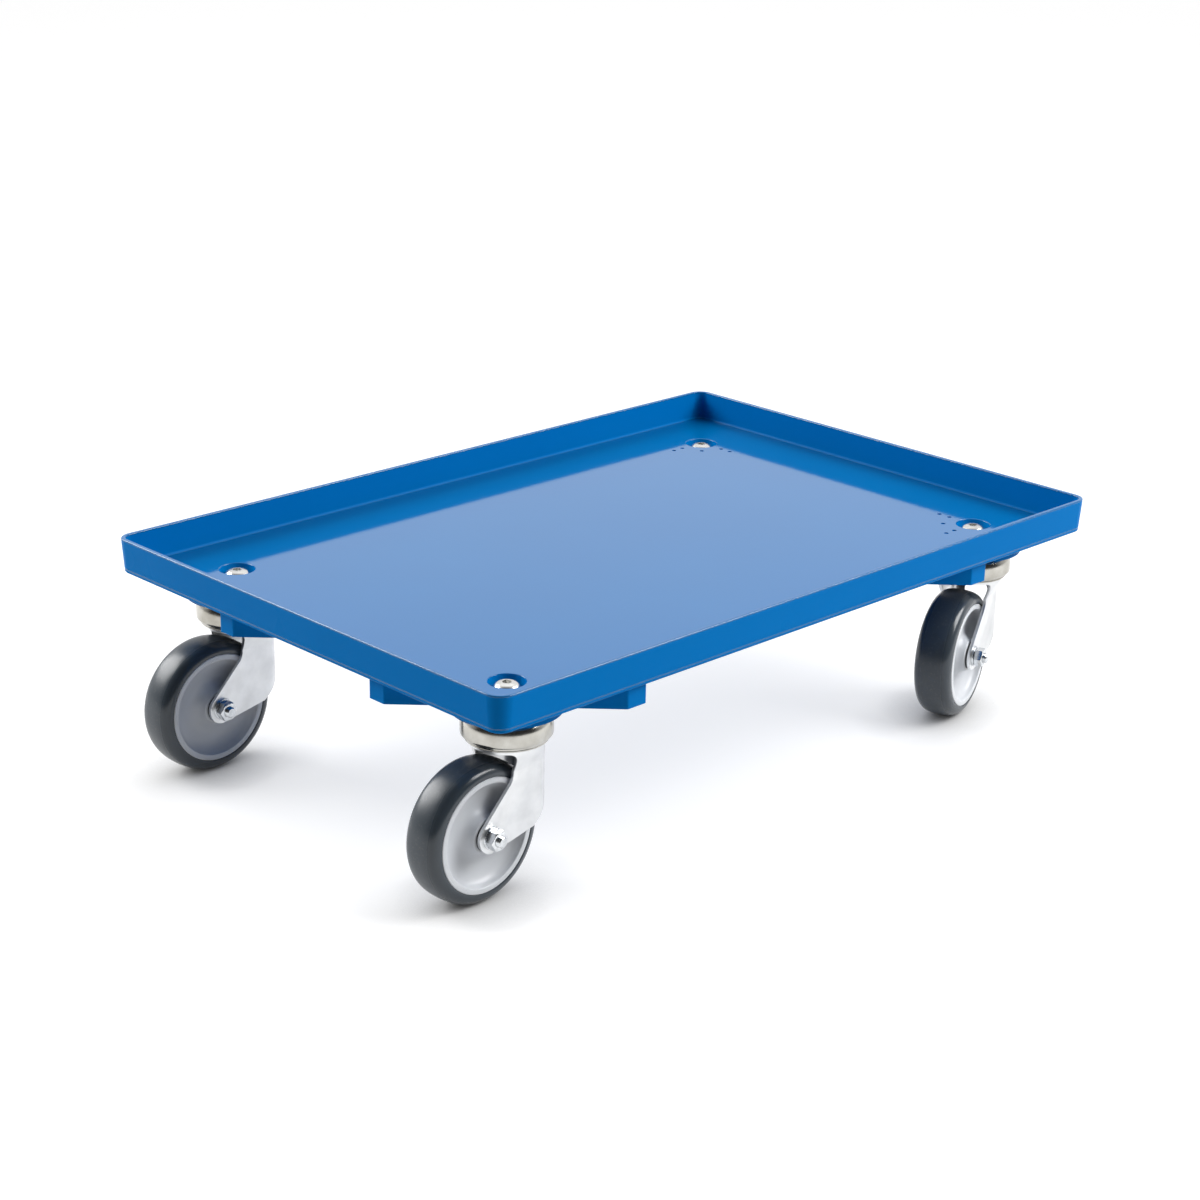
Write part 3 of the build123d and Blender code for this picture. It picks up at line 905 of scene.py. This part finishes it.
@dataclass
class SwivelCup:
    """Pressed upper half of the swivel head, with a rolled bead at its lower edge."""

    flat: float = 22.0 * MM
    sheet: float = 2.2 * MM
    shoulder: float = 10.5 * MM
    shoulder_pull: float = 0.6 * MM
    side: float = 5.0 * MM
    bead: float = 0.9 * MM
    bead_centre: float = 0.55
    bead_top: float = 2.6 * MM
    skirt_pull: float = 3.2 * MM
    lip: float = 26.3 * MM
    lip_top: float = 1.6 * MM
    lip_pull: float = 2.0 * MM
    lip_foot: float = 1.2
    hole: float = 5.3 * MM
    crease: float = 35.0
    steps: int = 120

    def build(self, stand: CasterFrame) -> bpy.types.Object:
        """Spin the cup in the caster's own frame.

        Args:
            stand: The caster to take the sizes from.

        Returns:
            The cup.
        """
        low, high = stand.reach("swivel_cup")
        radius = (high.y - low.y) / 2
        side_top = high.z - self.shoulder
        side_foot = side_top - self.side
        inner_radius = radius - self.sheet
        under_top = high.z - self.sheet
        shoulder_pull = (radius - self.shoulder_pull, high.z - self.shoulder_pull)
        bead_middle = (self.lip + self.sheet * self.bead_centre, low.z + self.bead)
        bead_top = (bead_middle[0] + self.bead, low.z + self.bead_top)
        lip_top = (self.lip, low.z + self.lip_top)
        lip_pull = (inner_radius, low.z + self.lip_pull)
        outline = [(self.hole, high.z), (self.flat, high.z)]
        outline += eased((self.flat, high.z), (radius, side_top), shoulder_pull, 12)[1:]
        outline += eased((radius, side_foot), bead_top, (radius, low.z + self.skirt_pull), 8)
        outline += arc(bead_middle, self.bead, 40.0, -150.0, 8)
        outline += [(self.lip, low.z + self.bead * self.lip_foot)]
        outline += eased(lip_top, (inner_radius, side_foot), lip_pull, 6)
        under_pull = (inner_radius, under_top)
        outline += eased((inner_radius, side_top), (self.flat, under_top), under_pull, 8)
        outline += [(self.hole, under_top)]
        points = [Vector((out, 0.0, up)) for out, up in outline]
        foot = Vector((0.0, 0.0, low.z))
        cup = Bench.spun("cup_form", points, foot, Vector((0.0, 0.0, 1.0)), self.steps)
        Bench.smooth(cup, self.crease)
        return cup


@dataclass
class Casters:
    """The four casters: one of each new form, copied to every corner."""

    finishes: Finishes
    stands: list[CasterFrame] = field(default_factory=lambda: [CasterFrame(c) for c in Corner])
    edge_rounding: float = 0.45 * MM
    nut_rounding: float = 0.22 * MM
    rounding_steps: int = 3

    def build(self) -> None:
        """Model, place and dress every caster's new pieces."""
        first = self.stands[0]
        forms = {
            "tyre": (Tyre().build(first), "wheel", "tyre_rubber"),
            "wheel_rim": (WheelCentre().build(first), "wheel", "rim_plastic"),
            "swivel_cup": (SwivelCup().build(first), None, "cup_zinc"),
        }
        for node, (form, body, slot) in forms.items():
            for stand in self.stands:
                corner = stand.corner.value
                piece = Bench.copy_to(form, f"{node}_made_{corner}", stand.place)
                self.fit(piece, node, corner, body, slot)
            bpy.data.objects.remove(form)
        for stand in self.stands:
            corner = stand.corner.value
            for node, width, slot in (
                ("fork", self.edge_rounding, "fork_zinc"),
                ("axle_nut", self.nut_rounding, "axle_zinc"),
                ("axle_washers", self.nut_rounding, "axle_zinc"),
            ):
                piece = Bench.rounded_copy(
                    f"{node}_{corner}", f"{node}_made_{corner}", width, self.rounding_steps
                )
                self.fit(piece, node, corner, "fork", slot)

    def fit(
        self, piece: bpy.types.Object, node: str, corner: str, body: str | None, slot: str
    ) -> None:
        """Dress a new piece and put it on its body in place of its plain node.

        Args:
            piece: The new piece.
            node: The node that it stands for, without its corner.
            corner: The corner's name.
            body: The moving body's name without its corner, or None for the deck's body.
            slot: The record's material slot.
        """
        self.finishes.dress(piece, slot)
        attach(piece, f"{body}_{corner}" if body else "deck_body")
        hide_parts(f"{node}_{corner}")
        log.info("made %s", piece.name)


# ---------------------------------------------------------------------------------------------
# Studio
# ---------------------------------------------------------------------------------------------
@dataclass
class SoftBox:
    """One large soft lamp that points at a target."""

    name: str
    place: tuple[float, float, float]
    size: Point
    power: float
    target: tuple[float, float, float] = (0.0, 0.0, 0.1)

    def build(self) -> None:
        """Add the lamp."""
        lamp = bpy.data.lights.new(self.name, "AREA")
        lamp.shape = "RECTANGLE"
        lamp.size, lamp.size_y = self.size
        lamp.energy = self.power
        holder = bpy.data.objects.new(self.name, lamp)
        holder.location = self.place
        aim = Vector(self.target) - Vector(self.place)
        holder.rotation_euler = aim.to_track_quat("-Z", "Y").to_euler()
        bpy.context.scene.collection.objects.link(holder)


@dataclass
class Studio:
    """Pale floor, soft light all round and the camera."""

    eye: tuple[float, float, float] = (-1.2718, -1.2764, 0.7617)
    azimuth: float = -44.50
    elevation: float = 20.10
    roll: float = 1.02
    lens: float = 75.2
    sensor: float = 36.0
    floor_size: float = 30.0
    floor_squares: int = 8
    sky_turn: Point = (-0.30, 0.40)
    sky_bright: float = 1.35
    sky_dim: float = 0.04

    def build(self) -> None:
        """Set up the whole studio."""
        self.lay_floor()
        self.light_sky()
        for box in (
            SoftBox("overhead", (0.5, 0.6, 2.4), (2.0, 2.0), 3.0),
            SoftBox("right_side", (1.20, -1.40, 1.55), (1.4, 1.2), 56.0),
            SoftBox("left_side", (-0.98, 1.70, 1.38), (1.4, 1.2), 50.0),
        ):
            box.build()
        self.set_camera()
        settings = bpy.context.scene.view_settings
        settings.view_transform = "Standard"
        settings.look = "None"

    def lay_floor(self) -> None:
        """Add the floor, cut into squares."""
        Bench.clear()
        squares = self.floor_squares
        bpy.ops.mesh.primitive_grid_add(
            x_subdivisions=squares, y_subdivisions=squares, size=self.floor_size
        )
        floor = bpy.context.object
        floor.name = "studio_floor"
        floor.data.materials.append(LightTable().make())

    def light_sky(self) -> None:
        """Light the scene evenly from all round, dimmer from behind the camera."""
        world = bpy.data.worlds.new("studio_sky")
        bpy.context.scene.world = world
        world.use_nodes = True
        tree = world.node_tree
        tree.nodes.clear()
        place = tree.nodes.new("ShaderNodeTexCoord")
        dot = tree.nodes.new("ShaderNodeVectorMath")
        dot.operation = "DOT_PRODUCT"
        turn = math.radians(self.azimuth)
        dot.inputs[1].default_value = (-math.sin(turn), math.cos(turn), 0.0)
        ramp = tree.nodes.new("ShaderNodeMapRange")
        ramp.inputs["From Min"].default_value = self.sky_turn[0]
        ramp.inputs["From Max"].default_value = self.sky_turn[1]
        ramp.inputs["To Min"].default_value = self.sky_dim
        ramp.inputs["To Max"].default_value = self.sky_bright
        background = tree.nodes.new("ShaderNodeBackground")
        output = tree.nodes.new("ShaderNodeOutputWorld")
        tree.links.new(place.outputs["Generated"], dot.inputs[0])
        tree.links.new(dot.outputs["Value"], ramp.inputs["Value"])
        tree.links.new(ramp.outputs["Result"], background.inputs["Strength"])
        tree.links.new(background.outputs["Background"], output.inputs["Surface"])

    def set_camera(self) -> None:
        """Add the camera at its viewing angle."""
        turn, rise, roll = (math.radians(a) for a in (self.azimuth, self.elevation, self.roll))
        back = Vector(
            (math.sin(turn) * math.cos(rise), -math.cos(turn) * math.cos(rise), math.sin(rise))
        )
        level = (-back).cross(Vector((0.0, 0.0, 1.0))).normalized()
        upright = level.cross(-back)
        right = level * math.cos(roll) + upright * math.sin(roll)
        top = -level * math.sin(roll) + upright * math.cos(roll)
        axes = Matrix((right, top, back)).transposed()
        camera = bpy.data.cameras.new("camera")
        camera.lens = self.lens
        camera.sensor_width = self.sensor
        holder = bpy.data.objects.new("camera", camera)
        holder.matrix_world = Matrix.Translation(self.eye) @ axes.to_4x4()
        bpy.context.scene.collection.objects.link(holder)
        bpy.context.scene.camera = holder


def main() -> None:
    """Build the trolley's looks and its studio."""
    logging.basicConfig(level=logging.INFO, format="%(name)s: %(message)s")
    finishes = Finishes().make()
    finishes.dress_nodes()
    log.info("dressed %d nodes", len(frame["nodes"]))
    Casters(finishes).build()
    Studio().build()


if __name__ == "__main__":
    main()
